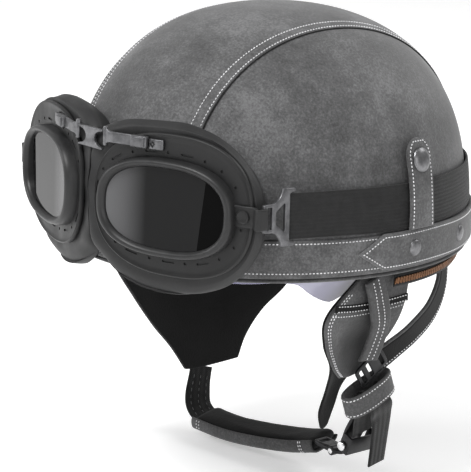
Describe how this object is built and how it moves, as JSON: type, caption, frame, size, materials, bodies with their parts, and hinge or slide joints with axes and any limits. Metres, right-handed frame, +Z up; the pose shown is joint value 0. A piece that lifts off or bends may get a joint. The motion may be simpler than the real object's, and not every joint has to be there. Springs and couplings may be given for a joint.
{
  "type": "motorcycle helmet",
  "caption": "Leather-covered open-face half helmet with flying goggles, drop-down sun visor, ear flaps and padded chin strap",
  "frame": {"origin": "centre of the brim plane, on the wearer's vertical axis", "axes": "+Z up towards the crown, -Y the way the wearer faces, +X the wearer's left"},
  "size_m": [0.2548, 0.298, 0.3091],
  "materials": {
    "leather": "matt mottled grey",
    "shell": "moulded black",
    "foam": "expanded foam",
    "lining": "brushed black cloth",
    "cushion": "matt dark grey",
    "rubber": "matt dark grey",
    "lens": "smoked, glossy",
    "visor": "tinted, glossy",
    "elastic": "woven elastic",
    "webbing": "woven nylon",
    "tape": "woven tape",
    "copper": "antique copper",
    "rivet": "satin gunmetal",
    "dark_metal": "satin dark grey",
    "black_metal": "satin black",
    "chrome": "polished"
  },
  "bodies": {
    "helmet": {"outer_shell": "shell", "eps_liner": "foam", "comfort_liner": "lining", "crown_pad": "lining", "cover_center": "leather", "cover_left": "leather", "cover_right": "leather", "brim_band": "leather", "edge_trim": "leather", "rear_band": "leather", "band_rivet_1": "rivet", "band_rivet_2": "rivet", "band_rivet_3": "rivet", "band_rivet_4": "rivet", "snap_stud_left": "rivet", "snap_stud_right": "rivet", "visor_pivot_left": "dark_metal", "visor_pivot_right": "dark_metal", "zipper_tape": "tape", "zipper_teeth": "copper", "goggle_strap_rear": "elastic"},
    "visor": {"sun_visor": "visor"},
    "goggles": {"goggle_cushion_left": "cushion", "goggle_frame_left": "rubber", "lens_rim_left": "rubber", "strap_lug_left": "rubber", "lens_left": "lens", "clamp_block_left": "dark_metal", "hinge_arm_left": "dark_metal", "strap_buckle_left": "dark_metal", "goggle_strap_left": "elastic", "goggle_cushion_right": "cushion", "goggle_frame_right": "rubber", "lens_rim_right": "rubber", "strap_lug_right": "rubber", "lens_right": "lens", "clamp_block_right": "dark_metal", "hinge_arm_right": "dark_metal", "strap_buckle_right": "dark_metal", "goggle_strap_right": "elastic", "bridge_plate": "dark_metal"},
    "keeper_left": {"keeper_tab_left": "leather", "snap_cap_left": "rivet"},
    "keeper_right": {"keeper_tab_right": "leather", "snap_cap_right": "rivet"},
    "flap_left": {"ear_flap_left": "leather", "flap_lining_left": "lining", "front_leg_left": "leather", "rear_leg_left": "leather", "adjuster_left": "black_metal", "webbing_left": "webbing", "strap_keeper_left": "leather", "buckle_frame": "black_metal", "buckle_pin": "chrome"},
    "lever": {"buckle_lever": "black_metal"},
    "flap_right": {"ear_flap_right": "leather", "flap_lining_right": "lining"},
    "chin_strap": {"webbing_right": "webbing", "chin_pad": "leather", "buckle_tongue": "black_metal"}
  },
  "joints": [
    {"name": "visor_tilt", "type": "hinge", "parent": "helmet", "child": "visor", "pos_m": [0, 0, 0.01], "axis": [1, 0, 0], "range_deg": [0, 35]},
    {"name": "goggle_lift", "type": "hinge", "parent": "helmet", "child": "goggles", "pos_m": [0, 0.013, 0.04], "axis": [-1, 0, 0], "range_deg": [0, 12]},
    {"name": "keeper_left_open", "type": "hinge", "parent": "helmet", "child": "keeper_left", "pos_m": [0.12576, 0.01359, 0.0266], "axis": [-0.085, 0.9964, 0], "range_deg": [0, 95]},
    {"name": "keeper_right_open", "type": "hinge", "parent": "helmet", "child": "keeper_right", "pos_m": [-0.12576, 0.01359, 0.0266], "axis": [-0.085, -0.9964, 0], "range_deg": [0, 95]},
    {"name": "flap_left_swing", "type": "hinge", "parent": "helmet", "child": "flap_left", "pos_m": [0.11, 0, -0.0046], "axis": [0, -1, 0], "range_deg": [0, 20]},
    {"name": "lever_release", "type": "hinge", "parent": "flap_left", "child": "lever", "pos_m": [0.07345, 0.018, -0.12937], "axis": [0, -1, 0], "range_deg": [0, 45], "stiffness_Nm_per_rad": 0.02, "springref_deg": -17.19},
    {"name": "flap_right_swing", "type": "hinge", "parent": "helmet", "child": "flap_right", "pos_m": [-0.108, 0.01, -0.0046], "axis": [0, 1, 0], "range_deg": [0, 20]},
    {"name": "chin_strap_drop", "type": "hinge", "parent": "flap_right", "child": "chin_strap", "pos_m": [-0.0943, 0.029, -0.122], "axis": [0, 1, 0], "range_deg": [0, 60]}
  ]
}
